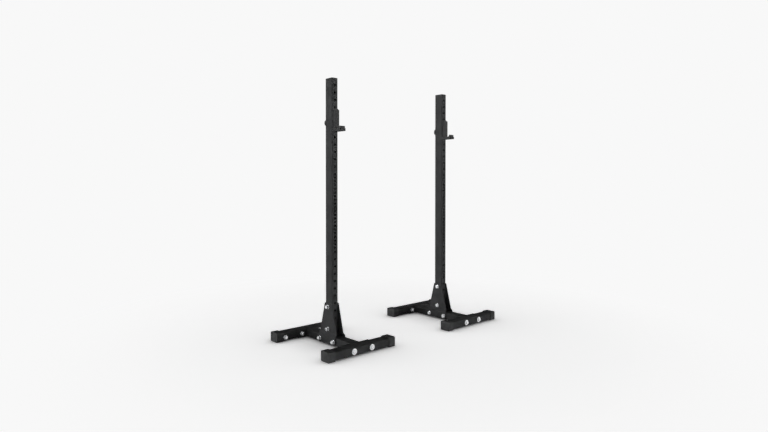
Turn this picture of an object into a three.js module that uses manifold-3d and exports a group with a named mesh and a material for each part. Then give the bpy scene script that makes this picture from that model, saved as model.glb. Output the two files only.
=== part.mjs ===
// A pair of independent squat stands. Millimetres, +Z up, X runs from stand to stand, -Y is the front.
// The origin lies on the floor, midway between the two stands.
import * as THREE from 'three';
import { mergeVertices } from 'three/addons/utils/BufferGeometryUtils.js';
import Module from 'manifold-3d';

const wasm = await Module();
wasm.setup();

// Whole pair
const standSpacing = 1132; // between the upright centre lines
const standHeight = 1836.8; // floor to the top of the top plug
const gap = 0.3; // between pieces that touch
const overrun = 2; // how far a cut runs past the faces it opens

// Facets
const boreSides = 8; // round a hole or a shank
const washerSides = 8;
const cornerSteps = 2; // round a small corner
const edgeSteps = 1; // round the soft edge of a cap
const bendSteps = 2; // round a bend of a plate
const fluteSteps = 3; // round one flute of the knob

// Tube stock of the uprights, centre tubes and feet
const tubeNarrow = 50.8; // width of an upright
const tubeWide = 76.2;
const baseTubeHeight = 57;
const tubeWall = 3;
const tubeCorner = 7;

// Base
const baseLength = 515; // between the inner faces of the two feet
const footLength = 561;
const flangeWidth = 228.6;
const flangeThickness = 6.35;
const flangeCorner = 3;
const flangeBoltSpacing = 152.4;

// Rubber end caps on the feet
const capFloor = 5.1; // under the tube, and over it
const capSide = 4;
const capEnd = 4;
const capSleeve = 50; // how much of the tube the cap covers
const capCorner = 9;
const capRound = 2.5; // soft edge round both ends of a cap

// Hole pattern of an upright, front and back
const holeDiameter = 16.8;
const lowestHole = 135;
const widePitch = 50.8;
const closePitch = 25.4;
const closeZoneStart = 643;
const closeZoneEnd = 1176.4;
const topMargin = 50.8; // from the last hole to the top of the stand

// Gusset plates, bent outwards from the narrow upright to the wide centre tube
const gussetThickness = 6.35;
const gussetTop = 286;
const gussetBottom = 9;
const gussetTopWidth = 76.2;
const gussetBaseWidth = 190.5;
const gussetCorner = 7;
const bendTop = 88; // height where the plate leaves the plane of the upright
const bendBottom = 67; // height where it lies flat against the centre tube
const bendRadius = 8;
const upperBoltHeight = 260;
const middleBoltHeight = 107.6;
const lowerBoltSpacing = 152.4;

// Fasteners
const shankDiameter = 15.8;
const boltHole = 17.4;
const nutBore = 16.8;
const hexWidth = 26; // across the corners
const headHeight = 10;
const nutHeight = 13;
const boltTail = 6; // thread past the nut
const washerThickness = 3;
const smallWasher = 28.5;
const largeWasher = 41;
const edgeBreak = 1.2; // chamfer round the crown of a head or nut

// Top plug
const plugFlange = 3;
const plugDepth = 20;

// J-cup: steel tray on a back plate, a through pin, a plastic liner and a hand knob
const cupPinHole = 5; // counted down from the top hole
const cupWidth = 50.8;
const cupPlate = 6.35;
const cupReach = 88.6; // from the upright's face to the front of the lip
const cupAbovePin = 93;
const cupBelowPin = 64;
const cupCorner = 8;
const trayHeight = 18;
const trayWall = 3.6;
const pinDiameter = 15.2;
const pinPastKnob = 2;
const linerBack = 13; // thickness in front of the back plate
const linerSeat = 12.7; // thickness over the tray's floor
const linerLip = 10.4; // thickness behind the steel lip
const lipRise = 15; // from the seat to the top of the lip
const lipRound = 4;
const seatRound = 14; // radius of the hollow in front
const linerHollow = 8; // hollow at the back of the seat
const knobDiameter = 51;
const knobThickness = 11;
const knobFlutes = 12;
const knobFluteDepthShare = 0.035; // of the diameter

// Levels and places that follow from the sizes above
const baseFloor = capFloor + gap;
const baseTop = baseFloor + baseTubeHeight;
const baseMiddle = baseFloor + baseTubeHeight / 2;
const uprightFoot = baseTop + gap;
const uprightTop = standHeight - plugFlange - gap;
const uprightFace = tubeWide / 2;
const footMiddle = baseLength / 2 + tubeWide / 2;

const black = { color: 0x2c2d2e, roughness: 0.5, metalness: 0.2 };
const rubber = { color: 0x353637, roughness: 0.8, metalness: 0 };
const plastic = { color: 0x161617, roughness: 0.6, metalness: 0 };
const zinc = { color: 0xc9cccd, roughness: 0.35, metalness: 0.9 };

// Solids and geometries

function solid(geometry) {
  geometry.deleteAttribute('normal');
  geometry.deleteAttribute('uv');
  const merged = mergeVertices(geometry);
  return new wasm.Manifold(new wasm.Mesh({
    numProp: 3,
    vertProperties: new Float32Array(merged.attributes.position.array),
    triVerts: new Uint32Array(merged.index.array),
  }));
}

function mesh(name, shape, look) {
  const { vertProperties, triVerts } = shape.getMesh();
  const geometry = new THREE.BufferGeometry();
  geometry.setAttribute('position', new THREE.BufferAttribute(vertProperties, 3));
  geometry.setIndex(new THREE.BufferAttribute(triVerts, 1));
  const flat = geometry.toNonIndexed();
  flat.computeVertexNormals();
  const result = new THREE.Mesh(flat, new THREE.MeshStandardMaterial(look));
  result.name = name;
  return result;
}

// An outline drawn in (y, z) and pushed along X, in (x, z) along Y, or in (x, y) along Z.
const pushAxes = {
  x: [[0, 1, 0], [0, 0, 1], [1, 0, 0]],
  y: [[1, 0, 0], [0, 0, 1], [0, -1, 0]],
  z: [[1, 0, 0], [0, 1, 0], [0, 0, 1]],
};

function push(outline, axis, start, end, round = 0) {
  const geometry = new THREE.ExtrudeGeometry(outline, {
    depth: end - start - 2 * round,
    bevelEnabled: round > 0,
    bevelThickness: round,
    bevelSize: round,
    bevelOffset: -round,
    bevelSegments: edgeSteps,
    curveSegments: cornerSteps,
  });
  const [u, v, w] = pushAxes[axis].map((values) => new THREE.Vector3(...values));
  geometry.applyMatrix4(new THREE.Matrix4().makeBasis(u, v, w));
  const origin = axis === 'y' ? end - round : start + round;
  geometry.translate(...['x', 'y', 'z'].map((name) => (name === axis ? origin : 0)));
  return solid(geometry);
}

// A round or many-sided rod along an axis, through a point (a, b) of the other two axes.
function rod(axis, diameter, start, end, [a, b], sides = boreSides) {
  const geometry = new THREE.CylinderGeometry(diameter / 2, diameter / 2, end - start, sides);
  const middle = (start + end) / 2;
  if (axis === 'x') geometry.rotateZ(Math.PI / 2).translate(middle, a, b);
  if (axis === 'y') geometry.translate(a, middle, b);
  if (axis === 'z') geometry.rotateX(Math.PI / 2).translate(a, b, middle);
  return solid(geometry);
}

function box([x0, y0, z0], [x1, y1, z1]) {
  const geometry = new THREE.BoxGeometry(x1 - x0, y1 - y0, z1 - z0);
  return solid(geometry.translate((x0 + x1) / 2, (y0 + y1) / 2, (z0 + z1) / 2));
}

function cut(shape, tools) {
  return tools.reduce((rest, tool) => rest.subtract(tool), shape);
}

// Outlines

// A closed outline through the given corners, each rounded by its own radius.
function roundedOutline(corners) {
  const outline = new THREE.Shape();
  corners.forEach(([a, b, radius = 0], i) => {
    const here = new THREE.Vector2(a, b);
    const [before, after] = [corners.at(i - 1), corners[(i + 1) % corners.length]]
      .map(([c, d]) => new THREE.Vector2(c, d).sub(here).setLength(radius).add(here));
    if (i === 0) outline.moveTo(before.x, before.y);
    else outline.lineTo(before.x, before.y);
    if (radius > 0) outline.quadraticCurveTo(here.x, here.y, after.x, after.y);
  });
  outline.closePath();
  return outline;
}

function rectangle(width, height, radius, middleHeight = 0) {
  const [halfWidth, low, high] = [width / 2, middleHeight - height / 2, middleHeight + height / 2];
  return roundedOutline([
    [-halfWidth, low, radius], [halfWidth, low, radius],
    [halfWidth, high, radius], [-halfWidth, high, radius],
  ]);
}

// Upright

// Evenly spaced heights from the first one up to the last, which is left out.
function row(first, last, pitch) {
  return Array.from({ length: Math.round((last - first) / pitch) }, (_, i) => first + i * pitch);
}

function holeHeights() {
  return [
    ...row(lowestHole, closeZoneStart, widePitch),
    ...row(closeZoneStart, closeZoneEnd, closePitch),
    ...row(closeZoneEnd, standHeight - topMargin + widePitch, widePitch),
  ];
}

function makeUpright() {
  const outside = rectangle(tubeNarrow, tubeWide, tubeCorner);
  const inside = rectangle(tubeNarrow - 2 * tubeWall, tubeWide - 2 * tubeWall, tubeCorner - tubeWall);
  const tube = push(outside, 'z', uprightFoot, uprightTop)
    .subtract(push(inside, 'z', uprightFoot - overrun, uprightTop + overrun));
  const reach = uprightFace + overrun;
  const frontHoles = holeHeights().map((z) => rod('y', holeDiameter, -reach, reach, [0, z]));
  const sideHoles = [middleBoltHeight, upperBoltHeight]
    .map((z) => rod('x', boltHole, -reach, reach, [0, z]));
  return cut(tube, [...frontHoles, ...sideHoles]);
}

function makeTopPlug() {
  const clear = 2 * (tubeWall + gap);
  const flange = rectangle(tubeNarrow, tubeWide, tubeCorner);
  const insert = rectangle(tubeNarrow - clear, tubeWide - clear, tubeCorner - tubeWall);
  return push(flange, 'z', standHeight - plugFlange, standHeight)
    .add(push(insert, 'z', uprightTop - plugDepth, standHeight - plugFlange / 2));
}

// Gusset plate

// The plate's section in (x, z), from its top edge down: flat, bent out, flat again.
function gussetSection() {
  const inner = tubeNarrow / 2 + gap + gussetThickness / 2;
  const outer = tubeWide / 2 + gap + gussetThickness / 2;
  const turns = [[inner, bendTop], [outer, bendBottom]];
  const line = new THREE.Path();
  const slope = new THREE.Vector2(outer - inner, bendBottom - bendTop).normalize();
  const drawIn = bendRadius * Math.tan(Math.acos(-slope.y) / 2);
  line.moveTo(inner, gussetTop + overrun);
  turns.forEach(([x, z], i) => {
    const arrive = i === 0 ? new THREE.Vector2(0, -1) : slope;
    const leave = i === 0 ? slope : new THREE.Vector2(0, -1);
    line.lineTo(x - arrive.x * drawIn, z - arrive.y * drawIn);
    line.quadraticCurveTo(x, z, x + leave.x * drawIn, z + leave.y * drawIn);
  });
  line.lineTo(outer, gussetBottom - overrun);
  const points = line.getPoints(bendSteps);
  const sides = [-1, 1].map((side) => points.map((point, i) => {
    const along = points[Math.min(i + 1, points.length - 1)].clone().sub(points[Math.max(i - 1, 0)]);
    const across = new THREE.Vector2(-along.y, along.x).setLength(side * gussetThickness / 2);
    return point.clone().add(across);
  }));
  return new THREE.Shape([...sides[0], ...sides[1].reverse()]);
}

function gussetOutline() {
  const [top, base] = [gussetTopWidth / 2, gussetBaseWidth / 2];
  return roundedOutline([
    [-base, gussetBottom, gussetCorner], [base, gussetBottom, gussetCorner],
    [base, bendBottom, gussetCorner], [top, gussetTop, gussetCorner],
    [-top, gussetTop, gussetCorner], [-base, bendBottom, gussetCorner],
  ]);
}

function gussetBoltPlaces() {
  return {
    upper: [0, upperBoltHeight],
    middle: [0, middleBoltHeight],
    front: [-lowerBoltSpacing / 2, baseMiddle],
    rear: [lowerBoltSpacing / 2, baseMiddle],
  };
}

function makeGusset() {
  const reach = gussetBaseWidth / 2 + overrun;
  const span = tubeWide / 2 + gussetThickness + overrun;
  const sheet = push(gussetSection(), 'y', -reach, reach);
  const plate = sheet.intersect(push(gussetOutline(), 'x', 0, span));
  return cut(plate, Object.values(gussetBoltPlaces()).map((place) => rod('x', boltHole, 0, span, place)));
}

// Base

function makeCentreTube() {
  const end = baseLength / 2 - gap;
  const outside = rectangle(tubeWide, baseTubeHeight, tubeCorner, baseMiddle);
  const [insideWide, insideHigh] = [tubeWide - 2 * tubeWall, baseTubeHeight - 2 * tubeWall];
  const inside = rectangle(insideWide, insideHigh, tubeCorner - tubeWall, baseMiddle);
  const flange = rectangle(flangeWidth, baseTubeHeight, flangeCorner, baseMiddle);
  const flangeHoles = [-1, 1].map((side) => {
    const spot = [side * flangeBoltSpacing / 2, baseMiddle];
    return rod('y', boltHole, -end - overrun, end + overrun, spot);
  });
  const gussetHoles = [-1, 1].map((side) => {
    const reach = tubeWide / 2 + overrun;
    return rod('x', boltHole, -reach, reach, [side * lowerBoltSpacing / 2, baseMiddle]);
  });
  const tube = push(outside, 'y', -end, end)
    .add(push(flange, 'y', -end, flangeThickness - end))
    .add(push(flange, 'y', end - flangeThickness, end));
  return cut(tube, [push(inside, 'y', -end - overrun, end + overrun), ...flangeHoles, ...gussetHoles]);
}

function makeFoot() {
  const half = footLength / 2;
  const outside = rectangle(tubeWide, baseTubeHeight, tubeCorner, baseMiddle);
  const [insideWide, insideHigh] = [tubeWide - 2 * tubeWall, baseTubeHeight - 2 * tubeWall];
  const inside = rectangle(insideWide, insideHigh, tubeCorner - tubeWall, baseMiddle);
  const reach = tubeWide / 2 + overrun;
  const holes = [-1, 1].map((side) => {
    const spot = [side * flangeBoltSpacing / 2, baseMiddle];
    return rod('y', boltHole, -reach, reach, spot);
  });
  const tube = push(outside, 'x', -half, half);
  return cut(tube, [push(inside, 'x', -half - overrun, half + overrun), ...holes]);
}

// A cap for the +X end of a foot: a sleeve with a closed end and soft edges.
function makeEndCap() {
  const half = footLength / 2;
  const [depth, height] = [tubeWide + 2 * (capSide + gap), baseTubeHeight + 2 * (capFloor + gap)];
  const outside = rectangle(depth, height, capCorner, baseMiddle);
  const pocket = rectangle(tubeWide + 2 * gap, baseTubeHeight + 2 * gap, tubeCorner, baseMiddle);
  return push(outside, 'x', half - capSleeve, half + gap + capEnd, capRound)
    .subtract(push(pocket, 'x', half - capSleeve - overrun, half + gap));
}

// Fasteners, drawn along +Z from the face under the head's washer

function hexCrown(start, end) {
  const round = new THREE.CylinderGeometry(hexWidth / 2 - edgeBreak, hexWidth / 2, edgeBreak, 6);
  const body = rod('z', hexWidth, start, end - edgeBreak, [0, 0], 6);
  return body.add(solid(round.rotateX(Math.PI / 2).translate(0, 0, end - edgeBreak / 2)));
}

function makeBolt(grip, washer) {
  const head = hexCrown(gap + washerThickness, gap + washerThickness + headHeight);
  const tail = grip + gap + washerThickness + nutHeight + boltTail;
  return head.add(rod('z', washer, gap, gap + washerThickness, [0, 0], washerSides))
    .add(rod('z', shankDiameter, -tail, gap + washerThickness, [0, 0]));
}

function makeNut() {
  const nut = hexCrown(gap + washerThickness, gap + washerThickness + nutHeight);
  return nut.add(rod('z', smallWasher, gap, gap + washerThickness, [0, 0], washerSides))
    .subtract(rod('z', nutBore, -overrun, gap + washerThickness + nutHeight + overrun, [0, 0]));
}

// J-cup

function cupLevels() {
  const pin = holeHeights().at(-1 - cupPinHole);
  const bottom = pin - cupBelowPin;
  const seat = bottom + cupPlate + gap + linerSeat;
  return { pin, bottom, top: pin + cupAbovePin, seat };
}

function makeCupBracket() {
  const { pin, bottom, top } = cupLevels();
  const back = -uprightFace - gap;
  const front = -uprightFace - cupReach;
  const half = cupWidth / 2;
  const plate = push(roundedOutline([
    [-half, bottom], [half, bottom], [half, top, cupCorner], [-half, top, cupCorner],
  ]), 'y', back - cupPlate, back);
  const tray = push(roundedOutline([
    [-half, back], [-half, front, cupCorner], [half, front, cupCorner], [half, back],
  ]), 'z', bottom, bottom + trayHeight);
  const pocket = box(
    [trayWall - half, front + cupPlate, bottom + cupPlate],
    [half - trayWall, back - cupPlate, bottom + trayHeight + overrun],
  );
  const pinEnd = uprightFace + gap + knobThickness + pinPastKnob;
  return plate.add(tray).subtract(pocket).add(rod('y', pinDiameter, back - cupPlate / 2, pinEnd, [0, pin]));
}

// One plastic moulding: a tall back, a hollowed seat and a low lip.
function makeCupLiner() {
  const { bottom, top, seat } = cupLevels();
  const back = -uprightFace - gap - cupPlate - gap;
  const front = -uprightFace - cupReach + cupPlate + gap;
  const half = cupWidth / 2 - trayWall - gap;
  const [high, low] = [top - cupCorner, bottom + cupPlate + gap];
  const [backFace, lipFace] = [back + gap - linerBack, front + linerLip];
  return push(roundedOutline([
    [back, low], [back, high, lipRound], [backFace, high, lipRound], [backFace, seat, linerHollow],
    [lipFace, seat, seatRound], [lipFace, seat + lipRise, lipRound], [front, seat + lipRise, lipRound],
    [front, low],
  ].reverse()), 'x', -half, half);
}

function makeKnob() {
  const { pin } = cupLevels();
  const [start, end] = [uprightFace + gap, uprightFace + gap + knobThickness];
  const steps = fluteSteps * knobFlutes;
  const rim = Array.from({ length: steps }, (_, i) => {
    const angle = (i / steps) * 2 * Math.PI;
    const radius = knobDiameter * (0.5 - knobFluteDepthShare * Math.sin(angle * knobFlutes / 2) ** 2);
    return new THREE.Vector2(radius * Math.cos(angle), pin + radius * Math.sin(angle));
  });
  return push(new THREE.Shape(rim), 'y', start, end)
    .subtract(rod('y', nutBore, start - overrun, end + overrun, [0, pin]));
}

// Assembly. side is -1 for the left stand and 1 for the right one; bolt heads face the other stand.

function place(piece, [x, y, z], [turnX, turnY] = [0, 0]) {
  piece.position.set(x, y, z);
  piece.rotation.set(turnX, turnY, 0);
  return piece;
}

// The outer pieces of a stand face away from the other stand. A piece made for +X is turned for -X.
function outerAndInner(side) {
  return [['outer', side], ['inner', -side]];
}

function addGussets(stand, name, side) {
  outerAndInner(side).forEach(([which, across]) => {
    const plate = mesh(`${name}_${which}_gusset`, makeGusset(), black);
    plate.rotation.z = across > 0 ? 0 : Math.PI;
    stand.add(plate);
  });
}

function addGussetBolts(stand, name, side) {
  Object.entries(gussetBoltPlaces()).forEach(([where, [y, z]]) => {
    const onTube = z === baseMiddle;
    const face = (onTube ? tubeWide : tubeNarrow) / 2 + gap + gussetThickness;
    const bolt = mesh(`${name}_gusset_bolt_${where}`, makeBolt(2 * face, smallWasher), zinc);
    const nut = mesh(`${name}_gusset_nut_${where}`, makeNut(), zinc);
    stand.add(place(bolt, [-side * face, y, z], [0, -side * Math.PI / 2]));
    stand.add(place(nut, [side * face, y, z], [0, side * Math.PI / 2]));
  });
}

function addFlangeBolts(stand, name, side) {
  const flangeFace = baseLength / 2 - gap - flangeThickness;
  const footFace = footMiddle + tubeWide / 2;
  const grip = footFace - flangeFace;
  [['front', -1], ['back', 1]].forEach(([where, end]) => {
    outerAndInner(side).forEach(([which, across]) => {
      const x = across * flangeBoltSpacing / 2;
      const bolt = mesh(`${name}_${where}_foot_bolt_${which}`, makeBolt(grip, largeWasher), zinc);
      const nut = mesh(`${name}_${where}_foot_nut_${which}`, makeNut(), zinc);
      stand.add(place(bolt, [x, end * footFace, baseMiddle], [-end * Math.PI / 2, 0]));
      stand.add(place(nut, [x, end * flangeFace, baseMiddle], [end * Math.PI / 2, 0]));
    });
  });
}

function addFeet(stand, name, side) {
  [['front', -1], ['back', 1]].forEach(([where, end]) => {
    stand.add(place(mesh(`${name}_${where}_foot`, makeFoot(), black), [0, end * footMiddle, 0]));
    outerAndInner(side).forEach(([which, across]) => {
      const cap = mesh(`${name}_${where}_${which}_end_cap`, makeEndCap(), rubber);
      place(cap, [0, end * footMiddle, 0]).rotation.z = across > 0 ? 0 : Math.PI;
      stand.add(cap);
    });
  });
}

function makeStand(name, side) {
  const stand = new THREE.Group();
  stand.position.x = side * standSpacing / 2;
  stand.add(mesh(`${name}_upright`, makeUpright(), black));
  stand.add(mesh(`${name}_top_plug`, makeTopPlug(), plastic));
  stand.add(mesh(`${name}_centre_tube`, makeCentreTube(), black));
  addGussets(stand, name, side);
  addGussetBolts(stand, name, side);
  addFeet(stand, name, side);
  addFlangeBolts(stand, name, side);
  stand.add(mesh(`${name}_jcup_bracket`, makeCupBracket(), black));
  stand.add(mesh(`${name}_jcup_liner`, makeCupLiner(), plastic));
  stand.add(mesh(`${name}_jcup_knob`, makeKnob(), plastic));
  return stand;
}

const squatStands = new THREE.Group();
squatStands.add(makeStand('left', -1), makeStand('right', 1));

export default squatStands;
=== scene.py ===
# Looks for a pair of squat stands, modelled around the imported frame. Metres, +Z up, -Y is the front.
import math

import bmesh
import bpy
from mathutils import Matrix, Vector


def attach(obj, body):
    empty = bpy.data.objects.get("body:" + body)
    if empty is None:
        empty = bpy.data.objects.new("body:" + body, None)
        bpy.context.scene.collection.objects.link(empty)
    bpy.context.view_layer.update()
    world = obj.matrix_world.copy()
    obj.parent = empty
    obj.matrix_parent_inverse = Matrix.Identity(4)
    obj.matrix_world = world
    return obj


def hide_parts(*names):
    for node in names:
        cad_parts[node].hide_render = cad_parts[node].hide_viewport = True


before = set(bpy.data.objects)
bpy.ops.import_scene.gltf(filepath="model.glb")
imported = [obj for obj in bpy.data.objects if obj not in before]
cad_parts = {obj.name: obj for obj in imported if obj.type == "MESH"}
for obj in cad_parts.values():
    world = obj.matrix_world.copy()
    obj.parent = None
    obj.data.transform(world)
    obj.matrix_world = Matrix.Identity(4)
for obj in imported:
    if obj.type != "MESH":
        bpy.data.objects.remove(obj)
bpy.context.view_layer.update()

quarterTurn = math.pi / 2
halfTurn = math.pi
pair = {"spacing": 1.132, "gap": 0.0003}
sides = {"left": -1, "right": 1}  # which way each stand lies from the middle
nearby = 0.0005  # how close a point lies to count as at a place
parallel = 0.999  # least share of an edge's length along the axis that it runs along
facing = 0.9  # least part of a normal along the axis that it faces

# Ways of working


def makeActive(piece):
    bpy.ops.object.select_all(action="DESELECT")
    piece.select_set(True)
    bpy.context.view_layer.objects.active = piece


def applyPlace(piece):
    makeActive(piece)
    bpy.ops.object.transform_apply(location=True, rotation=True, scale=True)


def applyModifier(piece, kind, **settings):
    makeActive(piece)
    bpy.ops.object.modifier_add(type=kind)
    modifier = piece.modifiers[-1]
    for name, value in settings.items():
        setattr(modifier, name, value)
    bpy.ops.object.modifier_apply(modifier=modifier.name)


def addBlock(low, high):
    bpy.ops.object.select_all(action="DESELECT")
    middle = [(a + b) / 2 for a, b in zip(low, high)]
    size = [b - a for a, b in zip(low, high)]
    bpy.ops.mesh.primitive_cube_add(size=1, location=middle, scale=size)
    piece = bpy.context.active_object
    applyPlace(piece)
    return piece


axisTurns = {"x": (0, quarterTurn, 0), "y": (-quarterTurn, 0, 0), "z": (0, 0, 0)}


def onAxis(axis, along, across):  # a point from its place along an axis and its two other coordinates
    a, b = across
    return {"x": (along, a, b), "y": (a, along, b), "z": (a, b, along)}[axis]


def addRound(axis, diameter, start, end, across, steps):
    bpy.ops.object.select_all(action="DESELECT")
    bpy.ops.mesh.primitive_cylinder_add(
        vertices=steps, radius=diameter / 2, depth=end - start,
        location=onAxis(axis, (start + end) / 2, across), rotation=axisTurns[axis])
    piece = bpy.context.active_object
    applyPlace(piece)
    return piece


def editSelected(piece, kind, test):  # enters edit mode with only the parts that pass the test selected
    makeActive(piece)
    bpy.ops.object.mode_set(mode="EDIT")
    bpy.ops.mesh.select_mode(type=kind)
    bpy.ops.mesh.select_all(action="DESELECT")
    mesh = bmesh.from_edit_mesh(piece.data)
    parts = {"VERT": mesh.verts, "EDGE": mesh.edges, "FACE": mesh.faces}[kind]
    for part in [part for part in parts if test(part)]:
        part.select_set(True)
    mesh.select_flush_mode()
    bmesh.update_edit_mesh(piece.data)


def leaveEdit():
    bpy.ops.object.mode_set(mode="OBJECT")


def runsAlong(axis, place=lambda middle: True):  # edges parallel to an axis, at a place
    index = "xyz".index(axis)

    def test(edge):
        run = edge.verts[1].co - edge.verts[0].co
        middle = (edge.verts[1].co + edge.verts[0].co) / 2
        return abs(run[index]) > parallel * run.length and place(middle)
    return test


def roundEdges(piece, test, radius, steps=6):
    editSelected(piece, "EDGE", test)
    bpy.ops.mesh.bevel(offset=radius, segments=steps, affect="EDGES")
    leaveEdit()


def deleteFaces(piece, test):
    editSelected(piece, "FACE", test)
    bpy.ops.mesh.delete(type="FACE")
    leaveEdit()


def cutWith(piece, cutter, operation="DIFFERENCE"):
    applyModifier(piece, "BOOLEAN", object=cutter, operation=operation, solver="EXACT")
    bpy.data.objects.remove(cutter)
    return piece


def joinPieces(pieces):
    bpy.ops.object.select_all(action="DESELECT")
    for piece in pieces:
        piece.select_set(True)
    bpy.context.view_layer.objects.active = pieces[0]
    bpy.ops.object.join()
    return pieces[0]


def softenEdges(piece, width, steps=2, angle=35):
    limit = math.radians(angle)
    applyModifier(piece, "BEVEL", width=width, segments=steps, limit_method="ANGLE", angle_limit=limit)
    makeActive(piece)
    bpy.ops.object.shade_smooth_by_angle(angle=limit)
    applyModifier(piece, "WEIGHTED_NORMAL", keep_sharp=True)
    return piece


def copyTo(template, place, turn=(0, 0, 0)):
    makeActive(template)
    bpy.ops.object.duplicate(linked=False)
    piece = bpy.context.active_object
    piece.location = place
    piece.rotation_euler = turn
    applyPlace(piece)
    return piece


def addTube(axis, low, high, wall, corner):
    tube = addBlock(low, high)
    roundEdges(tube, runsAlong(axis), corner)
    index = "xyz".index(axis)
    deleteFaces(tube, lambda face: abs(face.normal[index]) > facing)
    applyModifier(tube, "SOLIDIFY", thickness=wall, offset=-1, use_even_offset=True)
    return tube


# Surface effects that several finishes share

noise = {
    "grainDetail": 2.0, "driftDetail": 4.0, "fineDetail": 2.0,
    "spreadStart": 0.36, "spreadEnd": 0.64}  # the middle of a noise's values, spread over the whole range


def newGroup(name, inputs, outputs):
    group = bpy.data.node_groups.new(name, "ShaderNodeTree")
    for label, kind, value in inputs:
        socket = group.interface.new_socket(name=label, in_out="INPUT", socket_type=kind)
        socket.default_value = value
    for label, kind in outputs:
        group.interface.new_socket(name=label, in_out="OUTPUT", socket_type=kind)
    return group, group.nodes.new("NodeGroupInput"), group.nodes.new("NodeGroupOutput")


def makeGrainGroup():  # fine bumps of a sprayed or moulded skin
    group, entry, leave = newGroup(
        "fineGrain",
        [("Grain Scale", "NodeSocketFloat", 900.0), ("Pit Scale", "NodeSocketFloat", 300.0),
         ("Pit Share", "NodeSocketFloat", 0.3)],
        [("Height", "NodeSocketFloat")])
    nodes, links = group.nodes, group.links
    place = nodes.new("ShaderNodeTexCoord")
    grain = nodes.new("ShaderNodeTexNoise")
    grain.inputs["Detail"].default_value = noise["grainDetail"]
    pits = nodes.new("ShaderNodeTexVoronoi")
    mix = nodes.new("ShaderNodeMix")
    links.new(place.outputs["Object"], grain.inputs["Vector"])
    links.new(place.outputs["Object"], pits.inputs["Vector"])
    links.new(entry.outputs["Grain Scale"], grain.inputs["Scale"])
    links.new(entry.outputs["Pit Scale"], pits.inputs["Scale"])
    links.new(entry.outputs["Pit Share"], mix.inputs["Factor"])
    links.new(grain.outputs["Fac"], mix.inputs["A"])
    links.new(pits.outputs["Distance"], mix.inputs["B"])
    links.new(mix.outputs["Result"], leave.inputs["Height"])
    return group


def makeDriftGroup():  # slow and fine changes of tone and gloss over a surface
    group, entry, leave = newGroup(
        "toneDrift",
        [("Drift Scale", "NodeSocketFloat", 12.0), ("Fine Scale", "NodeSocketFloat", 900.0),
         ("Fine Share", "NodeSocketFloat", 0.4),
         ("Dark Tone", "NodeSocketColor", (0, 0, 0, 1)), ("Light Tone", "NodeSocketColor", (1, 1, 1, 1)),
         ("Least Roughness", "NodeSocketFloat", 0.4), ("Most Roughness", "NodeSocketFloat", 0.6)],
        [("Tone", "NodeSocketColor"), ("Roughness", "NodeSocketFloat")])
    nodes, links = group.nodes, group.links
    place = nodes.new("ShaderNodeTexCoord")
    drift = nodes.new("ShaderNodeTexNoise")
    drift.inputs["Detail"].default_value = noise["driftDetail"]
    fine = nodes.new("ShaderNodeTexNoise")
    fine.inputs["Detail"].default_value = noise["fineDetail"]
    both = nodes.new("ShaderNodeMix")
    spread = nodes.new("ShaderNodeMapRange")
    spread.inputs["From Min"].default_value = noise["spreadStart"]
    spread.inputs["From Max"].default_value = noise["spreadEnd"]
    tone = nodes.new("ShaderNodeMix")
    tone.data_type = "RGBA"
    gloss = nodes.new("ShaderNodeMapRange")
    toneInputs = [socket for socket in tone.inputs if socket.type == "RGBA"]
    toneOutput = [socket for socket in tone.outputs if socket.type == "RGBA"][0]
    links.new(place.outputs["Object"], drift.inputs["Vector"])
    links.new(entry.outputs["Drift Scale"], drift.inputs["Scale"])
    links.new(place.outputs["Object"], fine.inputs["Vector"])
    links.new(entry.outputs["Fine Scale"], fine.inputs["Scale"])
    links.new(entry.outputs["Fine Share"], both.inputs["Factor"])
    links.new(drift.outputs["Fac"], both.inputs["A"])
    links.new(fine.outputs["Fac"], both.inputs["B"])
    links.new(both.outputs["Result"], spread.inputs["Value"])
    links.new(spread.outputs["Result"], tone.inputs["Factor"])
    links.new(entry.outputs["Dark Tone"], toneInputs[0])
    links.new(entry.outputs["Light Tone"], toneInputs[1])
    links.new(spread.outputs["Result"], gloss.inputs["Value"])
    links.new(entry.outputs["Least Roughness"], gloss.inputs["To Min"])
    links.new(entry.outputs["Most Roughness"], gloss.inputs["To Max"])
    links.new(toneOutput, leave.inputs["Tone"])
    links.new(gloss.outputs["Result"], leave.inputs["Roughness"])
    return group


grainGroup = makeGrainGroup()
driftGroup = makeDriftGroup()


def makeFinish(name, look):
    finish = bpy.data.materials.new(name)
    finish.use_nodes = True
    nodes, links = finish.node_tree.nodes, finish.node_tree.links
    shader = nodes["Principled BSDF"]
    shader.inputs["Metallic"].default_value = look["metallic"]
    shader.inputs["Specular IOR Level"].default_value = look["specular"]
    drift = nodes.new("ShaderNodeGroup")
    drift.node_tree = driftGroup
    drift.inputs["Drift Scale"].default_value = look["driftScale"]
    drift.inputs["Fine Scale"].default_value = look["fineScale"]
    drift.inputs["Fine Share"].default_value = look["fineShare"]
    drift.inputs["Dark Tone"].default_value = (*look["darkTone"], 1)
    drift.inputs["Light Tone"].default_value = (*look["lightTone"], 1)
    drift.inputs["Least Roughness"].default_value = look["roughness"][0]
    drift.inputs["Most Roughness"].default_value = look["roughness"][1]
    grain = nodes.new("ShaderNodeGroup")
    grain.node_tree = grainGroup
    grain.inputs["Grain Scale"].default_value = look["grainScale"]
    grain.inputs["Pit Scale"].default_value = look["pitScale"]
    grain.inputs["Pit Share"].default_value = look["pitShare"]
    bump = nodes.new("ShaderNodeBump")
    bump.inputs["Strength"].default_value = look["bumpStrength"]
    bump.inputs["Distance"].default_value = look["bumpDepth"]
    links.new(drift.outputs["Tone"], shader.inputs["Base Color"])
    links.new(drift.outputs["Roughness"], shader.inputs["Roughness"])
    links.new(grain.outputs["Height"], bump.inputs["Height"])
    links.new(bump.outputs["Normal"], shader.inputs["Normal"])
    return finish


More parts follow.
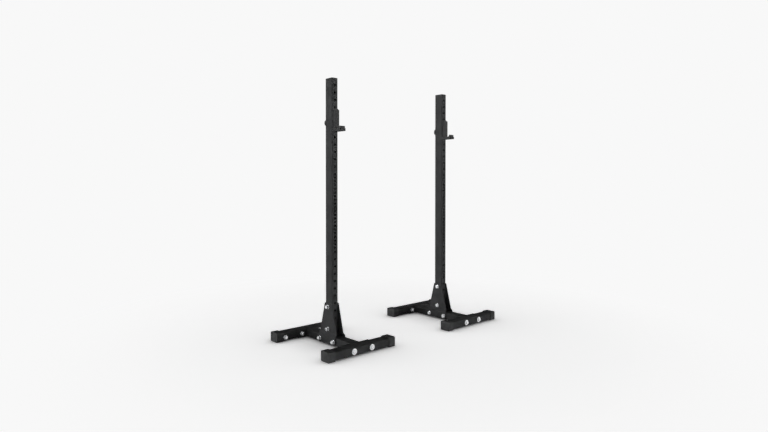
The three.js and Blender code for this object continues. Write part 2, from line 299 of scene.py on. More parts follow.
powderLook = {
    "metallic": 0.0, "specular": 0.003, "driftScale": 9.0, "fineScale": 1300.0, "fineShare": 0.45,
    "darkTone": (0.037, 0.0377, 0.0383), "lightTone": (0.0555, 0.0564, 0.0572),
    "roughness": (0.48, 0.62), "grainScale": 1100.0, "pitScale": 420.0, "pitShare": 0.35,
    "bumpStrength": 0.7, "bumpDepth": 0.0005}
rubberLook = {
    "metallic": 0.0, "specular": 0.01, "driftScale": 30.0, "fineScale": 900.0, "fineShare": 0.45,
    "darkTone": (0.0495, 0.0502, 0.051), "lightTone": (0.0765, 0.0775, 0.0784),
    "roughness": (0.7, 0.87), "grainScale": 1800.0, "pitScale": 900.0, "pitShare": 0.5,
    "bumpStrength": 0.7, "bumpDepth": 0.0004}
linerLook = {
    "metallic": 0.0, "specular": 0.3, "driftScale": 25.0, "fineScale": 500.0, "fineShare": 0.35,
    "darkTone": (0.0135, 0.0136, 0.0142), "lightTone": (0.022, 0.0221, 0.0228),
    "roughness": (0.42, 0.56), "grainScale": 700.0, "pitScale": 260.0, "pitShare": 0.15,
    "bumpStrength": 0.2, "bumpDepth": 0.0003}
plasticLook = {
    "metallic": 0.0, "specular": 0.3, "driftScale": 30.0, "fineScale": 1500.0, "fineShare": 0.45,
    "darkTone": (0.0225, 0.0226, 0.0232), "lightTone": (0.035, 0.0351, 0.0358),
    "roughness": (0.5, 0.62), "grainScale": 2400.0, "pitScale": 1500.0, "pitShare": 0.4,
    "bumpStrength": 0.45, "bumpDepth": 0.0002}
zincLook = {
    "metallic": 1.0, "specular": 0.5, "driftScale": 120.0, "fineScale": 1100.0, "fineShare": 0.4,
    "darkTone": (0.69, 0.7, 0.71), "lightTone": (0.88, 0.89, 0.9),
    "roughness": (0.11, 0.26), "grainScale": 1500.0, "pitScale": 700.0, "pitShare": 0.25,
    "bumpStrength": 0.2, "bumpDepth": 0.0002}

powderCoat = makeFinish("powderCoat", powderLook)
capRubber = makeFinish("capRubber", rubberLook)
linerPlastic = makeFinish("linerPlastic", linerLook)
blackPlastic = makeFinish("blackPlastic", plasticLook)
zincPlate = makeFinish("zincPlate", zincLook)
finishes = {
    "frame_powder_coat": powderCoat, "rubber_cap": capRubber, "liner_plastic": linerPlastic,
    "black_plastic": blackPlastic, "zinc_hardware": zincPlate}
print("finishes ready")


def dress(piece, name, slotName, body="root", node=None):
    piece.name = name
    piece.data.name = name
    piece.data.materials.clear()
    piece.data.materials.append(finishes[slotName])
    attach(piece, body)
    if node:
        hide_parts(node)


def dressNode(piece, node, slotName, body="root"):
    dress(piece, node + "_piece", slotName, body, node)


def standMiddle(side):
    return (side * pair["spacing"] / 2, 0, 0)


# Upright: a tube with rack holes through the front and back, and two bolt holes through the sides

tubeStock = {"narrow": 0.0508, "wide": 0.0762, "wall": 0.003, "corner": 0.007}
base = {"floor": 0.0054, "top": 0.0624, "middle": 0.0339}  # heights of the base's tubes
upright = {
    "foot": 0.0627, "top": 1.8335, "rackHole": 0.0168, "boltHole": 0.0174, "holeSteps": 28,
    "boltHeights": (0.1076, 0.26), "softEdge": 0.0005,
    "rows": ((0.135, 10, 0.0508), (0.643, 21, 0.0254), (1.1764, 13, 0.0508))}  # first, how many, pitch


def makeHoleCutter(axis, diameter, reach, places, steps):
    cutter = addRound(axis, diameter, -reach, reach, places[0], steps)
    bpy.ops.object.mode_set(mode="EDIT")
    for place in places[1:]:
        bpy.ops.mesh.primitive_cylinder_add(
            vertices=steps, radius=diameter / 2, depth=2 * reach,
            location=onAxis(axis, 0, place), rotation=axisTurns[axis])
    leaveEdit()
    return cutter


def makeUpright():
    halfX, halfY = tubeStock["narrow"] / 2, tubeStock["wide"] / 2
    tube = addTube("z", (-halfX, -halfY, upright["foot"]), (halfX, halfY, upright["top"]),
                   tubeStock["wall"], tubeStock["corner"])
    rack = [(0, first + i * pitch) for first, count, pitch in upright["rows"] for i in range(count)]
    reach = tubeStock["wide"]
    cutWith(tube, makeHoleCutter("y", upright["rackHole"], reach, rack, upright["holeSteps"]))
    bolts = [(0, height) for height in upright["boltHeights"]]
    cutWith(tube, makeHoleCutter("x", upright["boltHole"], reach, bolts, upright["holeSteps"]))
    return softenEdges(tube, upright["softEdge"])


uprightTube = makeUpright()
for name, side in sides.items():
    dressNode(copyTo(uprightTube, standMiddle(side)), f"{name}_upright", "frame_powder_coat")
bpy.data.objects.remove(uprightTube)
print("uprights ready")

# Top plug

plug = {
    "flange": 0.003, "top": 1.8368, "insertFoot": 1.8135, "clearance": 0.0033, "softEdge": 0.0011,
    "edgeSteps": 3, "insertEdge": 0.00055}


def makeTopPlug():
    halfX, halfY = tubeStock["narrow"] / 2, tubeStock["wide"] / 2
    flange = addBlock((-halfX, -halfY, plug["top"] - plug["flange"]), (halfX, halfY, plug["top"]))
    roundEdges(flange, runsAlong("z"), tubeStock["corner"])
    softenEdges(flange, plug["softEdge"], plug["edgeSteps"])
    x, y = halfX - plug["clearance"], halfY - plug["clearance"]
    insert = addBlock((-x, -y, plug["insertFoot"]), (x, y, plug["top"] - plug["flange"] / 2))
    roundEdges(insert, runsAlong("z"), tubeStock["corner"] - tubeStock["wall"])
    softenEdges(insert, plug["insertEdge"])
    return joinPieces([flange, insert])


topPlug = makeTopPlug()
for name, side in sides.items():
    dressNode(copyTo(topPlug, standMiddle(side)), f"{name}_top_plug", "black_plastic")
bpy.data.objects.remove(topPlug)
print("top plugs ready")

# Base: centre tube with a welded flange on each end, and the two feet

baseTubes = {
    "length": 0.515, "footLength": 0.561, "flangeWidth": 0.2286, "flangeThickness": 0.00635,
    "flangeCorner": 0.003, "cornerSteps": 4, "boltSpacing": 0.1524, "boltHole": 0.0174, "holeSteps": 24,
    "softEdge": 0.0005, "flangeEdge": 0.0008}
bead = {  # scalloped weld, laid in a corner
    "radius": 0.0032, "step": 0.0022, "count": 23, "segments": 16, "rings": 12, "merge": 0.0001,
    "smoothAngle": 60}


def boltPlaces():  # of the two bolts through a foot and its flange, and of the two through the centre tube
    half = baseTubes["boltSpacing"] / 2
    return [(-half, base["middle"]), (half, base["middle"])]


def makeBead():  # one scallop of the weld, repeated upwards
    bpy.ops.object.select_all(action="DESELECT")
    bpy.ops.mesh.primitive_uv_sphere_add(
        segments=bead["segments"], ring_count=bead["rings"], radius=bead["radius"])
    piece = bpy.context.active_object
    for end in (-1, 1):
        editSelected(piece, "FACE", lambda face: True)
        bpy.ops.mesh.bisect(plane_co=(0, 0, end * bead["step"] / 2), plane_no=(0, 0, end), clear_outer=True)
        leaveEdit()
    applyModifier(piece, "ARRAY", count=bead["count"], use_relative_offset=False,
                  use_constant_offset=True, constant_offset_displace=(0, 0, bead["step"]),
                  use_merge_vertices=True, merge_threshold=bead["merge"])
    editSelected(piece, "EDGE", lambda edge: edge.is_boundary)
    bpy.ops.mesh.edge_face_add()
    leaveEdit()
    makeActive(piece)
    bpy.ops.object.shade_smooth_by_angle(angle=math.radians(bead["smoothAngle"]))
    return piece


def makeCentreTube():
    halfX = tubeStock["wide"] / 2
    end = baseTubes["length"] / 2 - pair["gap"]
    tube = addTube("y", (-halfX, -end, base["floor"]), (halfX, end, base["top"]),
                   tubeStock["wall"], tubeStock["corner"])
    boltHole, holeSteps = baseTubes["boltHole"], baseTubes["holeSteps"]
    cutWith(tube, makeHoleCutter("x", boltHole, halfX * 2, boltPlaces(), holeSteps))
    softenEdges(tube, baseTubes["softEdge"])
    parts = [tube]
    flangeHalf, thickness = baseTubes["flangeWidth"] / 2, baseTubes["flangeThickness"]
    wall, corner = tubeStock["wall"], tubeStock["corner"]
    for way in (-1, 1):
        low, high = sorted((way * end, way * (end - thickness)))
        flange = addBlock((-flangeHalf, low, base["floor"]), (flangeHalf, high, base["top"]))
        roundEdges(flange, runsAlong("y"), baseTubes["flangeCorner"], baseTubes["cornerSteps"])
        mouth = addBlock((-halfX + wall, low - thickness, base["floor"] + wall),
                         (halfX - wall, high + thickness, base["top"] - wall))
        roundEdges(mouth, runsAlong("y"), corner - wall, baseTubes["cornerSteps"])
        cutWith(flange, mouth)
        cutWith(flange, makeHoleCutter("y", boltHole, 2 * end, boltPlaces(), holeSteps))
        parts.append(softenEdges(flange, baseTubes["flangeEdge"]))
        bottom = base["middle"] - (bead["count"] - 1) * bead["step"] / 2
        for across in (-1, 1):
            parts.append(copyTo(weldBead, (across * halfX, way * (end - thickness), bottom)))
    return joinPieces(parts)


def makeFoot():
    half, halfY = baseTubes["footLength"] / 2, tubeStock["wide"] / 2
    tube = addTube("x", (-half, -halfY, base["floor"]), (half, halfY, base["top"]),
                   tubeStock["wall"], tubeStock["corner"])
    cutWith(tube, makeHoleCutter("y", baseTubes["boltHole"], halfY * 2, boltPlaces(), baseTubes["holeSteps"]))
    return softenEdges(tube, baseTubes["softEdge"])


footMiddle = baseTubes["length"] / 2 + tubeStock["wide"] / 2
weldBead = makeBead()
centreTube = makeCentreTube()
footTube = makeFoot()
for name, side in sides.items():
    dressNode(copyTo(centreTube, standMiddle(side)), f"{name}_centre_tube", "frame_powder_coat")
    for where, end in (("front", -1), ("back", 1)):
        foot = copyTo(footTube, (standMiddle(side)[0], end * footMiddle, 0))
        dressNode(foot, f"{name}_{where}_foot", "frame_powder_coat")
for template in (weldBead, centreTube, footTube):
    bpy.data.objects.remove(template)
print("bases ready")

# Rubber end caps

endCap = {
    "sleeve": 0.05, "side": 0.004, "floor": 0.0051, "end": 0.004, "corner": 0.009, "cornerSteps": 8,
    "endRound": 0.0025, "endSteps": 4, "pocketSteps": 6, "softEdge": 0.0007}


def makeEndCap():
    half, gap = baseTubes["footLength"] / 2, pair["gap"]
    pocketY, pocketZ = tubeStock["wide"] / 2 + gap, (base["top"] - base["floor"]) / 2 + gap
    y, z = pocketY + endCap["side"], pocketZ + endCap["floor"]
    middle, mouth, end = base["middle"], half - endCap["sleeve"], half + gap + endCap["end"]
    cap = addBlock((mouth, -y, middle - z), (end, y, middle + z))
    roundEdges(cap, runsAlong("x"), endCap["corner"], endCap["cornerSteps"])
    editSelected(cap, "FACE", lambda face: abs(face.normal.x) > facing)
    bpy.ops.mesh.region_to_loop()
    bpy.ops.mesh.bevel(offset=endCap["endRound"], segments=endCap["endSteps"], affect="EDGES")
    leaveEdit()
    pocket = addBlock((mouth - endCap["side"], -pocketY, middle - pocketZ),
                      (half + gap, pocketY, middle + pocketZ))
    roundEdges(pocket, runsAlong("x"), tubeStock["corner"], endCap["pocketSteps"])
    cutWith(cap, pocket)
    return softenEdges(cap, endCap["softEdge"])


capTemplate = makeEndCap()
for name, side in sides.items():
    for where, end in (("front", -1), ("back", 1)):
        for which, across in (("outer", side), ("inner", -side)):
            turn = (0, 0, 0) if across > 0 else (0, 0, halfTurn)
            cap = copyTo(capTemplate, (standMiddle(side)[0], end * footMiddle, 0), turn)
            dressNode(cap, f"{name}_{where}_{which}_end_cap", "rubber_cap")
bpy.data.objects.remove(capTemplate)
print("end caps ready")

# Gusset plates, bent outwards from the upright to the wider centre tube

gusset = {
    "thickness": 0.00635, "top": 0.286, "bottom": 0.009, "topWidth": 0.0762, "baseWidth": 0.1905,
    "corner": 0.007, "cornerSteps": 6, "bendTop": 0.088, "bendBottom": 0.067, "bendRound": 0.003,
    "bendSteps": 5, "boltHole": 0.0174, "holeSteps": 24, "softEdge": 0.0008, "edgeSteps": 2, "edgeAngle": 40}
gussetBolts = {
    "upper": (0, 0.26), "middle": (0, 0.1076), "front": (-0.0762, 0.0339), "rear": (0.0762, 0.0339)}


def plateFace(narrow):  # from the stand's middle plane to the outer face of a gusset
    half = tubeStock["narrow" if narrow else "wide"] / 2
    return half + pair["gap"] + gusset["thickness"]


def scaleRow(piece, height, share):  # narrows the row of points at one height
    editSelected(piece, "VERT", lambda point: abs(point.co.z - height) < nearby)
    bpy.ops.transform.resize(value=(1, share, 1), center_override=(0, 0, 0))
    leaveEdit()


def makeGusset():
    thickness, top, bottom = gusset["thickness"], gusset["top"], gusset["bottom"]
    inner, outer = plateFace(True) - thickness / 2, plateFace(False) - thickness / 2
    bpy.ops.object.select_all(action="DESELECT")
    bpy.ops.mesh.primitive_plane_add(
        size=1, location=(inner, 0, (top + bottom) / 2), rotation=(0, quarterTurn, 0))
    plate = bpy.context.active_object
    plate.scale = (top - bottom, gusset["baseWidth"], 1)
    applyPlace(plate)
    for height in (gusset["bendTop"], gusset["bendBottom"]):
        editSelected(plate, "FACE", lambda face: True)
        bpy.ops.mesh.bisect(plane_co=(0, 0, height), plane_no=(0, 0, 1))
        leaveEdit()
    topShare = gusset["topWidth"] / gusset["baseWidth"]
    rise = (gusset["bendTop"] - gusset["bendBottom"]) / (top - gusset["bendBottom"])
    scaleRow(plate, top, topShare)
    scaleRow(plate, gusset["bendTop"], 1 - rise * (1 - topShare))
    editSelected(plate, "VERT", lambda point: point.co.z < gusset["bendBottom"] + nearby)
    bpy.ops.transform.translate(value=(outer - inner, 0, 0))
    leaveEdit()
    editSelected(plate, "VERT", lambda point: min(abs(point.co.z - top), abs(point.co.z - bottom)) < nearby)
    bpy.ops.mesh.bevel(offset=gusset["corner"], segments=gusset["cornerSteps"], affect="VERTICES")
    leaveEdit()
    bends = (gusset["bendTop"], gusset["bendBottom"])
    roundEdges(plate, runsAlong("y", lambda middle: min(abs(middle.z - bend) for bend in bends) < nearby),
               gusset["bendRound"], gusset["bendSteps"])
    applyModifier(plate, "SOLIDIFY", thickness=thickness, offset=0, use_even_offset=True)
    places = list(gussetBolts.values())
    cutWith(plate, makeHoleCutter("x", gusset["boltHole"], 2 * outer, places, gusset["holeSteps"]))
    return softenEdges(plate, gusset["softEdge"], gusset["edgeSteps"], gusset["edgeAngle"])


gussetTemplate = makeGusset()
for name, side in sides.items():
    for which, across in (("outer", side), ("inner", -side)):
        plate = copyTo(gussetTemplate, standMiddle(side), (0, 0, 0) if across > 0 else (0, 0, halfTurn))
        dressNode(plate, f"{name}_{which}_gusset", "frame_powder_coat")
bpy.data.objects.remove(gussetTemplate)
print("gussets ready")

# Fasteners, drawn along +Z from the face that they clamp

fastener = {
    "shank": 0.0158, "threadRoot": 0.0142, "threadPitch": 0.002, "threadCount": 11, "bore": 0.0168,
    "hex": 0.026, "crown": 0.0218, "crownSlope": 1.73, "headHeight": 0.01, "nutHeight": 0.013,
    "tail": 0.006, "washer": 0.003, "smallWasher": 0.0285, "largeWasher": 0.041, "softEdge": 0.0003,
    "washerEdge": 0.00045, "edgeSteps": 2, "edgeAngle": 25, "hexSides": 6, "roundSteps": 32,
    "washerSteps": 48, "crownSteps": 48, "merge": 0.00005, "threadAngle": 25, "shankAngle": 35}


def makeHex(start, end, bothEnds):  # a hexagon whose corners are turned off at one end or both
    piece = addRound("z", fastener["hex"], start, end, (0, 0), fastener["hexSides"])
    height = end - start
    flare = height * fastener["crownSlope"]
    crown, middle = fastener["crown"] / 2, (start + end) / 2
    for flip in ((False, True) if bothEnds else (False,)):
        bpy.ops.object.select_all(action="DESELECT")
        low, high = (crown + flare, crown) if not flip else (crown, crown + flare)
        bpy.ops.mesh.primitive_cone_add(vertices=fastener["crownSteps"], radius1=low, radius2=high,
                                        depth=height, location=(0, 0, middle))
        cutWith(piece, bpy.context.active_object, "INTERSECT")
    return piece


def makeWasher(diameter):
    gap, thick = pair["gap"], fastener["washer"]
    washer = addRound("z", diameter, gap, gap + thick, (0, 0), fastener["washerSteps"])
    cutWith(washer, addRound("z", fastener["bore"], -gap, 2 * thick, (0, 0), fastener["roundSteps"]))
    return softenEdges(washer, fastener["washerEdge"], fastener["edgeSteps"])


def makeThread(end):  # one ridge, repeated down the shank from its end
    pitch, count = fastener["threadPitch"], fastener["threadCount"]
    ridge = addRound("z", fastener["threadRoot"], end, end + pitch, (0, 0), fastener["roundSteps"])
    editSelected(ridge, "FACE", lambda face: True)
    bpy.ops.mesh.bisect(plane_co=(0, 0, end + pitch / 2), plane_no=(0, 0, 1))
    leaveEdit()
    deleteFaces(ridge, lambda face: abs(face.normal.z) > facing)
    editSelected(ridge, "VERT", lambda point: abs(point.co.z - end - pitch / 2) < pitch / 10)
    share = fastener["shank"] / fastener["threadRoot"]
    bpy.ops.transform.resize(value=(share, share, 1), center_override=(0, 0, 0))
    leaveEdit()
    applyModifier(ridge, "ARRAY", count=count, use_relative_offset=False, use_constant_offset=True,
                  constant_offset_displace=(0, 0, pitch), use_merge_vertices=True,
                  merge_threshold=fastener["merge"])
    editSelected(ridge, "EDGE", lambda edge: edge.is_boundary)
    bpy.ops.mesh.edge_face_add()
    leaveEdit()
    makeActive(ridge)
    bpy.ops.object.shade_smooth_by_angle(angle=math.radians(fastener["threadAngle"]))
    return ridge


def makeBolt(grip, washer):
    gap, thick = pair["gap"], fastener["washer"]
    head = makeHex(gap + thick, gap + thick + fastener["headHeight"], False)
    softenEdges(head, fastener["softEdge"], fastener["edgeSteps"], fastener["edgeAngle"])
    end = -(grip + gap + thick + fastener["nutHeight"] + fastener["tail"])
    threaded = end + fastener["threadPitch"] * fastener["threadCount"]
    shank = addRound("z", fastener["shank"], threaded, gap + 2 * thick, (0, 0), fastener["roundSteps"])
    makeActive(shank)
    bpy.ops.object.shade_smooth_by_angle(angle=math.radians(fastener["shankAngle"]))
    return joinPieces([head, makeWasher(washer), shank, makeThread(end)])


def makeNut():
    gap, thick = pair["gap"], fastener["washer"]
    height = fastener["nutHeight"]
    nut = makeHex(gap + thick, gap + thick + height, True)
    cutWith(nut, addRound("z", fastener["bore"], -gap, 2 * height, (0, 0), fastener["roundSteps"]))
    softenEdges(nut, fastener["softEdge"], fastener["edgeSteps"], fastener["edgeAngle"])
    return joinPieces([nut, makeWasher(fastener["smallWasher"])])


flangeFace = baseTubes["length"] / 2 - pair["gap"] - baseTubes["flangeThickness"]
footFace = footMiddle + tubeStock["wide"] / 2
nutTemplate = makeNut()
narrowBolt = makeBolt(2 * plateFace(True), fastener["smallWasher"])
wideBolt = makeBolt(2 * plateFace(False), fastener["smallWasher"])
footBolt = makeBolt(footFace - flangeFace, fastener["largeWasher"])
smallBolt = makeBolt(tubeStock["wide"], fastener["smallWasher"])
spareBolt = {"across": 0.2145, "height": 0.0296}  # small fastener through the back foot, near its outer cap

for name, side in sides.items():
    centre = standMiddle(side)[0]
    for where, (y, z) in gussetBolts.items():
        narrow = z != base["middle"]
        face = plateFace(narrow)
        sideBolt = narrowBolt if narrow else wideBolt
        bolt = copyTo(sideBolt, (centre - side * face, y, z), (0, -side * quarterTurn, 0))
        dressNode(bolt, f"{name}_gusset_bolt_{where}", "zinc_hardware")
        nut = copyTo(nutTemplate, (centre + side * face, y, z), (0, side * quarterTurn, 0))
        dressNode(nut, f"{name}_gusset_nut_{where}", "zinc_hardware")
    for where, end in (("front", -1), ("back", 1)):
        for which, across in (("outer", side), ("inner", -side)):
            x = centre + across * baseTubes["boltSpacing"] / 2
            bolt = copyTo(footBolt, (x, end * footFace, base["middle"]), (-end * quarterTurn, 0, 0))
            dressNode(bolt, f"{name}_{where}_foot_bolt_{which}", "zinc_hardware")
            nut = copyTo(nutTemplate, (x, end * flangeFace, base["middle"]), (end * quarterTurn, 0, 0))
            dressNode(nut, f"{name}_{where}_foot_nut_{which}", "zinc_hardware")
    x = centre + side * spareBolt["across"]
    inside = footFace - tubeStock["wide"]
    bolt = copyTo(smallBolt, (x, footFace, spareBolt["height"]), (-quarterTurn, 0, 0))
    dress(bolt, f"{name}_spare_bolt", "zinc_hardware")
    nut = copyTo(nutTemplate, (x, inside, spareBolt["height"]), (quarterTurn, 0, 0))
    dress(nut, f"{name}_spare_nut", "zinc_hardware")
for template in (nutTemplate, narrowBolt, wideBolt, footBolt, smallBolt):
    bpy.data.objects.remove(template)
print("fasteners ready")

# J-cup: steel plate, tray and pin, plastic liner, hand knob

jCup = {
    "pinHeight": 1.532, "bottom": 1.468, "top": 1.625, "width": 0.0508, "plate": 0.00635, "reach": 0.0886,
    "corner": 0.008, "trayHeight": 0.018, "trayWall": 0.0036, "pin": 0.0152, "pinPastKnob": 0.002,
    "pinChamfer": 0.0012, "pinSteps": 40, "cornerSteps": 8, "softEdge": 0.0009}
liner = {
    "back": 0.013, "seat": 0.0127, "lip": 0.0104, "lipRise": 0.015, "lipRound": 0.004, "lipSteps": 6,
    "seatRound": 0.014, "seatSteps": 10, "backRound": 0.008, "backSteps": 8, "softEdge": 0.0008}
knob = {
    "diameter": 0.051, "thickness": 0.011, "flutes": 12, "fluteDiameter": 0.009, "fluteDepth": 0.0018,
    "steps": 96, "fluteSteps": 24, "boreSteps": 40, "softEdge": 0.0012, "edgeSteps": 3, "edgeAngle": 30}
uprightFace = tubeStock["wide"] / 2


def makeBracket():
    half, gap, bottom = jCup["width"] / 2, pair["gap"], jCup["bottom"]
    back, front = -uprightFace - gap, -uprightFace - jCup["reach"]
    plate = addBlock((-half, back - jCup["plate"], bottom), (half, back, jCup["top"]))
    corner, steps = jCup["corner"], jCup["cornerSteps"]
    roundEdges(plate, runsAlong("y", lambda middle: middle.z > jCup["pinHeight"]), corner, steps)
    tray = addBlock((-half, front, bottom), (half, back - jCup["plate"] / 2, bottom + jCup["trayHeight"]))
    roundEdges(tray, runsAlong("z", lambda middle: middle.y < back - jCup["plate"]), corner, steps)
    pocket = addBlock((jCup["trayWall"] - half, front + jCup["plate"], bottom + jCup["plate"]),
                      (half - jCup["trayWall"], back - jCup["plate"], bottom + 2 * jCup["trayHeight"]))
    cutWith(tray, pocket)
    cutWith(plate, tray, "UNION")
    softenEdges(plate, jCup["softEdge"])
    tip = uprightFace + gap + knob["thickness"] + jCup["pinPastKnob"]
    pin = addRound("y", jCup["pin"], back - jCup["plate"] / 2, tip, (0, jCup["pinHeight"]), jCup["pinSteps"])
    softenEdges(pin, jCup["pinChamfer"], 1)
    return joinPieces([plate, pin])


def makeLiner():
    half = jCup["width"] / 2 - jCup["trayWall"] - pair["gap"]
    back = -uprightFace - jCup["plate"] - 2 * pair["gap"]
    front = -uprightFace - jCup["reach"] + jCup["plate"] + pair["gap"]
    low = jCup["bottom"] + jCup["plate"] + pair["gap"]
    seat = low + liner["seat"]
    backFace, lipFace = back + pair["gap"] - liner["back"], front + liner["lip"]
    body = addBlock((-half, front, low), (half, back, jCup["top"] - jCup["corner"]))
    cutWith(body, addBlock((-2 * half, lipFace, seat), (2 * half, backFace, 2 * seat)))
    lipTop, backTop = seat + liner["lipRise"], jCup["top"] - jCup["corner"]
    cutWith(body, addBlock((-2 * half, front - half, lipTop), (2 * half, backFace, 2 * seat)))

    def near(y, z):
        return lambda middle: abs(middle.y - y) < nearby and abs(middle.z - z) < nearby
    roundEdges(body, runsAlong("x", near(lipFace, seat)), liner["seatRound"], liner["seatSteps"])
    roundEdges(body, runsAlong("x", near(backFace, seat)), liner["backRound"], liner["backSteps"])
    for y, z in ((lipFace, lipTop), (front, lipTop), (back, backTop), (backFace, backTop)):
        roundEdges(body, runsAlong("x", near(y, z)), liner["lipRound"], liner["lipSteps"])
    return softenEdges(body, liner["softEdge"])


def makeKnob():
    start = uprightFace + pair["gap"]
    end, height = start + knob["thickness"], jCup["pinHeight"]
    disc = addRound("y", knob["diameter"], start, end, (0, height), knob["steps"])
    ring = knob["diameter"] / 2 + knob["fluteDiameter"] / 2 - knob["fluteDepth"]
    angles = [(i + 0.5) * 2 * math.pi / knob["flutes"] for i in range(knob["flutes"])]
    places = [(ring * math.cos(angle), height + ring * math.sin(angle)) for angle in angles]
    cutWith(disc, makeHoleCutter("y", knob["fluteDiameter"], 2 * end, places, knob["fluteSteps"]))
    cutWith(disc, addRound("y", fastener["bore"], 0, 2 * end, (0, height), knob["boreSteps"]))
    return softenEdges(disc, knob["softEdge"], knob["edgeSteps"], knob["edgeAngle"])


bracket, linerBody, knobDisc = makeBracket(), makeLiner(), makeKnob()
for name, side in sides.items():
    place = standMiddle(side)
    dressNode(copyTo(bracket, place), f"{name}_jcup_bracket", "frame_powder_coat", f"{name}_jcup")
    dressNode(copyTo(linerBody, place), f"{name}_jcup_liner", "liner_plastic", f"{name}_jcup")
    dressNode(copyTo(knobDisc, place), f"{name}_jcup_knob", "black_plastic", f"{name}_knob")
for template in (bracket, linerBody, knobDisc):
    bpy.data.objects.remove(template)
print("J-cups ready")

# Floor, background, lamps and camera

studio = {
    "background": 0.939, "floorSize": 60.0, "floorGlow": 0.74, "floorColor": 0.85, "seenColor": 0.9,
    "fadeStart": 1.0, "fadeEnd": 2.6, "bandLight": 13.5, "bandStart": 0.02, "bandEnd": 0.22,
    "skyLight": 0.04, "dimWay": (0.66, 0.75, 0.0), "dimStart": 0.3, "dimEnd": 0.85, "dimLeft": 0.25,
    "shadeReach": 0.3, "shadePower": 1.5}
lampAim = (0, 0, 0.8)
lamps = {  # place, width, height and power; both are aimed at the middle of the pair
    "leftLamp": ((-6.4, 5.6, 0.75), 4.5, 1.3, 150.0),
    "rightLamp": ((5.2, -6.7, 0.9), 4.5, 1.6, 38.0)}
camera = {
    "place": (-2.963255, -3.093087, 1.127494), "pitch": 0.7826, "azimuth": 41.2643, "lens": 26.4494,
    "shiftX": 0.02338, "shiftY": -0.03528, "sensorWidth": 36, "farClip": 200}


def grey(level):
    return (level, level, level, 1)


def addSeenMask(nodes, links):  # 1 on camera, gloss and transmission rays
    path = nodes.new("ShaderNodeLightPath")
    cameraOrGloss = nodes.new("ShaderNodeMath")
    cameraOrGloss.operation = "MAXIMUM"
    anySeen = nodes.new("ShaderNodeMath")
    anySeen.operation = "MAXIMUM"
    links.new(path.outputs["Is Camera Ray"], cameraOrGloss.inputs[0])
    links.new(path.outputs["Is Glossy Ray"], cameraOrGloss.inputs[1])
    links.new(cameraOrGloss.outputs[0], anySeen.inputs[0])
    links.new(path.outputs["Is Transmission Ray"], anySeen.inputs[1])
    return anySeen.outputs[0]


def makeFloor():
    bpy.ops.object.select_all(action="DESELECT")
    bpy.ops.mesh.primitive_plane_add(size=studio["floorSize"])
    floor = bpy.context.active_object
    floor.name = "floor"
    finish = bpy.data.materials.new("paleFloor")
    finish.use_nodes = True
    nodes, links = finish.node_tree.nodes, finish.node_tree.links
    nodes.remove(nodes["Principled BSDF"])
    output = nodes["Material Output"]
    matt = nodes.new("ShaderNodeBsdfDiffuse")
    matt.inputs["Color"].default_value = grey(studio["floorColor"])
    # the floor's glow carries a painted shadow: it is dimmed by ambient occlusion around the stands
    glow = nodes.new("ShaderNodeEmission")
    glow.inputs["Color"].default_value = grey(studio["floorGlow"])
    shade = nodes.new("ShaderNodeAmbientOcclusion")  # painted shadow: ambient occlusion darkens the floor's glow where the stands cover the floor
    shade.inputs["Distance"].default_value = studio["shadeReach"]
    deepen = nodes.new("ShaderNodeMath")
    deepen.operation = "POWER"
    deepen.inputs[1].default_value = studio["shadePower"]
    links.new(shade.outputs["AO"], deepen.inputs[0])
    links.new(deepen.outputs[0], glow.inputs["Strength"])
    seenMatt = nodes.new("ShaderNodeBsdfDiffuse")
    seenMatt.inputs["Color"].default_value = grey(studio["seenColor"])
    lit = nodes.new("ShaderNodeAddShader")
    far = nodes.new("ShaderNodeEmission")
    far.inputs["Color"].default_value = grey(studio["background"])
    place = nodes.new("ShaderNodeTexCoord")
    distance = nodes.new("ShaderNodeVectorMath")
    distance.operation = "LENGTH"
    fade = nodes.new("ShaderNodeMapRange")
    fade.interpolation_type = "SMOOTHSTEP"
    fade.inputs["From Min"].default_value = studio["fadeStart"]
    fade.inputs["From Max"].default_value = studio["fadeEnd"]
    seen = nodes.new("ShaderNodeMixShader")
    whole = nodes.new("ShaderNodeMixShader")
    links.new(place.outputs["Object"], distance.inputs[0])
    links.new(distance.outputs["Value"], fade.inputs["Value"])
    links.new(seenMatt.outputs[0], lit.inputs[0])
    links.new(glow.outputs[0], lit.inputs[1])
    links.new(fade.outputs["Result"], seen.inputs[0])
    links.new(lit.outputs[0], seen.inputs[1])
    links.new(far.outputs[0], seen.inputs[2])
    links.new(addSeenMask(nodes, links), whole.inputs[0])
    links.new(matt.outputs[0], whole.inputs[1])
    links.new(seen.outputs[0], whole.inputs[2])
    links.new(whole.outputs[0], output.inputs["Surface"])
    floor.data.materials.append(finish)


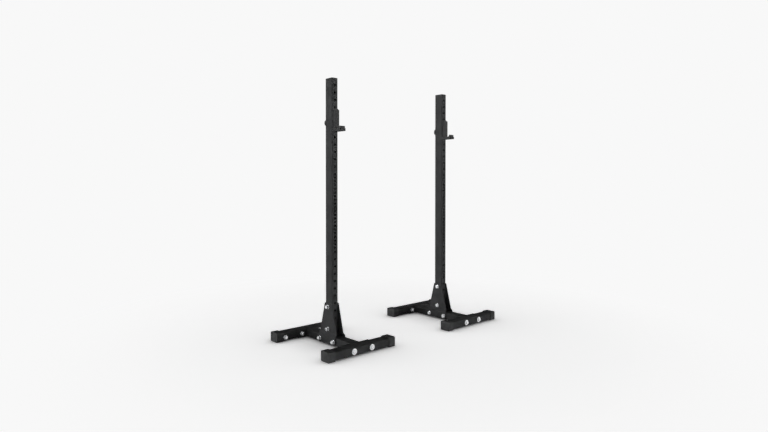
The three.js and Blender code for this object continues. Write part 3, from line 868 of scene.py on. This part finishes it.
def makeWorld():  # a bright band low down, dimmer both ways along one line, under a dim sky
    world = bpy.data.worlds.new("studioWorld")
    bpy.context.scene.world = world
    world.use_nodes = True
    nodes, links = world.node_tree.nodes, world.node_tree.links
    plain = nodes["Background"]
    plain.inputs["Color"].default_value = (1, 1, 1, 1)
    place = nodes.new("ShaderNodeTexCoord")
    parts = nodes.new("ShaderNodeSeparateXYZ")
    band = nodes.new("ShaderNodeMapRange")
    band.interpolation_type = "SMOOTHSTEP"
    band.inputs["From Min"].default_value = studio["bandStart"]
    band.inputs["From Max"].default_value = studio["bandEnd"]
    band.inputs["To Min"].default_value = studio["bandLight"]
    band.inputs["To Max"].default_value = studio["skyLight"]
    alignment = nodes.new("ShaderNodeVectorMath")
    alignment.operation = "DOT_PRODUCT"
    alignment.inputs[1].default_value = studio["dimWay"]
    bothWays = nodes.new("ShaderNodeMath")
    bothWays.operation = "ABSOLUTE"
    dim = nodes.new("ShaderNodeMapRange")
    dim.interpolation_type = "SMOOTHSTEP"
    dim.inputs["From Min"].default_value = studio["dimStart"]
    dim.inputs["From Max"].default_value = studio["dimEnd"]
    dim.inputs["To Min"].default_value = 1.0
    dim.inputs["To Max"].default_value = studio["dimLeft"]
    strength = nodes.new("ShaderNodeMath")
    strength.operation = "MULTIPLY"
    links.new(place.outputs["Generated"], parts.inputs[0])
    links.new(parts.outputs["Z"], band.inputs["Value"])
    links.new(place.outputs["Generated"], alignment.inputs[0])
    links.new(alignment.outputs["Value"], bothWays.inputs[0])
    links.new(bothWays.outputs[0], dim.inputs["Value"])
    links.new(band.outputs["Result"], strength.inputs[0])
    links.new(dim.outputs["Result"], strength.inputs[1])
    links.new(strength.outputs[0], plain.inputs["Strength"])
    seen = nodes.new("ShaderNodeBackground")
    seen.inputs["Color"].default_value = grey(studio["background"])
    mix = nodes.new("ShaderNodeMixShader")
    links.new(addSeenMask(nodes, links), mix.inputs[0])
    links.new(plain.outputs[0], mix.inputs[1])
    links.new(seen.outputs[0], mix.inputs[2])
    links.new(mix.outputs[0], nodes["World Output"].inputs["Surface"])


def addLamp(name, place, width, height, power):
    bpy.ops.object.select_all(action="DESELECT")
    bpy.ops.object.light_add(type="AREA", location=place)
    lamp = bpy.context.active_object
    lamp.name = name
    lamp.data.shape = "ELLIPSE"
    lamp.data.size = width
    lamp.data.size_y = height
    lamp.data.energy = power
    lamp.visible_camera = False
    lamp.rotation_euler = (Vector(lampAim) - Vector(place)).to_track_quat("-Z", "Y").to_euler()


def addCamera():
    bpy.ops.object.camera_add(
        location=camera["place"],
        rotation=(math.radians(90 - camera["pitch"]), 0, -math.radians(camera["azimuth"])))
    view = bpy.context.active_object
    view.data.lens = camera["lens"]
    view.data.sensor_width = camera["sensorWidth"]
    view.data.shift_x = camera["shiftX"]
    view.data.shift_y = camera["shiftY"]
    view.data.clip_end = camera["farClip"]
    bpy.context.scene.camera = view


makeFloor()
makeWorld()
for lampName, settings in lamps.items():
    addLamp(lampName, *settings)
addCamera()
bpy.context.scene.view_settings.view_transform = "Standard"
print("studio ready")
